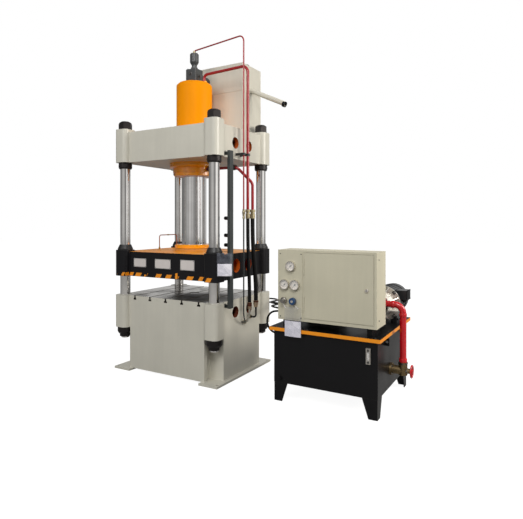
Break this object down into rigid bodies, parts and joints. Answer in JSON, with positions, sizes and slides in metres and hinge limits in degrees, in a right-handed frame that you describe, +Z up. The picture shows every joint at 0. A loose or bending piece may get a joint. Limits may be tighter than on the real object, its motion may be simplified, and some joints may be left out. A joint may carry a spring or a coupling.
{
  "type": "hydraulic press",
  "caption": "Upright column-guided hydraulic press with a slotted table, a guided slide driven by a top cylinder, and a separate power unit with a control cabinet.",
  "frame": {"origin": "on the floor, midway between the press columns", "axes": "+Z up, +X to the right of the press towards its power unit, +Y to the back"},
  "size_m": [2.849, 1.0931, 3.242],
  "materials": {
    "frame_paint": "semi-gloss enamel",
    "machined_steel": "planed and ground",
    "column_chrome": "hard chrome, ground",
    "rod_chrome": "hard chrome, polished",
    "nut_black": "blackened",
    "cylinder_paint": "gloss enamel",
    "valve_grey": "satin",
    "tank_paint": "semi-gloss enamel",
    "pipe_red": "gloss enamel",
    "fitting_zinc": "yellow zinc plate",
    "clamp_black": "satin",
    "hose_rubber": "matte",
    "bar_paint": "satin enamel",
    "slide_paint": "semi-gloss enamel",
    "grease_copper": "bare copper",
    "ejector_steel": "turned",
    "unit_black": "satin enamel",
    "glass_window": "clear",
    "bell_alloy": "as cast",
    "motor_grey": "satin enamel",
    "rotor_steel": "turned",
    "valve_bronze": "as cast",
    "wheel_red": "gloss enamel",
    "manifold_steel": "ground",
    "coil_black": "moulded",
    "cabinet_paint": "textured enamel",
    "gauge_steel": "polished",
    "needle_black": "matte",
    "knob_metal": "turned",
    "knob_blue": "moulded",
    "electrics_grey": "moulded"
  },
  "bodies": {
    "frame": {"press_bed": "frame_paint", "crosshead": "frame_paint", "bolster_table": "machined_steel", "column_front_left": "column_chrome", "column_front_right": "column_chrome", "column_rear_left": "column_chrome", "column_rear_right": "column_chrome", "column_nuts": "nut_black", "crosshead_collars": "nut_black", "cylinder_barrel": "cylinder_paint", "gland_ring": "cylinder_paint", "prefill_valve": "valve_grey", "pilot_cylinder": "valve_grey", "top_oil_tank": "tank_paint", "overflow_tube": "tank_paint", "pilot_pipe": "pipe_red", "pressure_pipe": "pipe_red", "return_pipe": "pipe_red", "hose_couplings": "fitting_zinc", "port_pipes": "fitting_zinc", "pipe_clamps": "clamp_black", "limit_switches": "clamp_black", "pressure_hose": "hose_rubber", "return_hose": "hose_rubber", "supply_hose": "hose_rubber", "drain_hose": "hose_rubber", "loop_hose": "hose_rubber", "limit_switch_bar": "bar_paint", "ejector_cylinder": "ejector_steel", "oil_tank": "unit_black", "tank_legs": "unit_black", "tank_cover": "unit_black", "pump": "unit_black", "level_gauge": "glass_window", "bell_housing": "bell_alloy", "motor_housing": "motor_grey", "fan_cover": "motor_grey", "suction_valve": "valve_bronze", "suction_pipe": "wheel_red", "valve_manifold": "manifold_steel", "solenoid_valves": "coil_black", "cabinet_shell": "cabinet_paint", "panel_plate": "cabinet_paint", "gauge_cases": "gauge_steel", "electrics": "electrics_grey"},
    "slide": {"slide_block": "slide_paint", "guide_bushes": "machined_steel", "rod_ring": "cylinder_paint", "piston_rod": "rod_chrome", "grease_line": "grease_copper"},
    "ejector": {"ejector_rod": "ejector_steel"},
    "rotor": {"motor_rotor": "rotor_steel"},
    "handwheel": {"suction_handwheel": "wheel_red"},
    "door": {"cabinet_door": "cabinet_paint"},
    "lock": {"door_lock": "gauge_steel"},
    "regulator": {"regulator_knob": "knob_metal"},
    "gauge_valve": {"gauge_valve_knob": "knob_blue"},
    "needle_top": {"gauge_needle_top": "needle_black"},
    "needle_left": {"gauge_needle_left": "needle_black"},
    "needle_right": {"gauge_needle_right": "needle_black"}
  },
  "joints": [
    {"name": "slide_stroke", "type": "slide", "parent": "frame", "child": "slide", "axis": [0, 0, 1], "range_m": [-0.1, 0.5]},
    {"name": "ejector_stroke", "type": "slide", "parent": "frame", "child": "ejector", "axis": [0, 0, 1], "range_m": [0, 0.15]},
    {"name": "pump_drive", "type": "hinge", "parent": "frame", "child": "rotor", "pos_m": [1.92, 0.2, 0.777], "axis": [0, 1, 0], "continuous": true},
    {"name": "suction_valve_turn", "type": "hinge", "parent": "frame", "child": "handwheel", "pos_m": [2.209, -0.085, 0.295], "axis": [1, 0, 0], "range_deg": [0, 1440]},
    {"name": "door_swing", "type": "hinge", "parent": "frame", "child": "door", "pos_m": [1.451, -0.455, 0.9645], "axis": [0, 0, 1], "range_deg": [-110, 0]},
    {"name": "door_lock_turn", "type": "hinge", "parent": "door", "child": "lock", "pos_m": [1.965, -0.455, 0.96], "axis": [0, 1, 0], "range_deg": [0, 90]},
    {"name": "regulator_turn", "type": "hinge", "parent": "frame", "child": "regulator", "pos_m": [1.277, -0.47, 0.836], "axis": [0, 1, 0], "range_deg": [-90, 90]},
    {"name": "gauge_valve_turn", "type": "hinge", "parent": "frame", "child": "gauge_valve", "pos_m": [1.358, -0.47, 0.833], "axis": [0, 1, 0], "range_deg": [0, 720]},
    {"name": "needle_top_turn", "type": "hinge", "parent": "frame", "child": "needle_top", "pos_m": [1.336, -0.465, 1.116], "axis": [0, 1, 0], "range_deg": [0, 270], "stiffness_Nm_per_rad": 0.02},
    {"name": "needle_left_turn", "type": "hinge", "parent": "frame", "child": "needle_left", "pos_m": [1.281, -0.465, 0.965], "axis": [0, 1, 0], "range_deg": [0, 270], "stiffness_Nm_per_rad": 0.02},
    {"name": "needle_right_turn", "type": "hinge", "parent": "frame", "child": "needle_right", "pos_m": [1.374, -0.465, 0.965], "axis": [0, 1, 0], "range_deg": [0, 270], "stiffness_Nm_per_rad": 0.02}
  ]
}
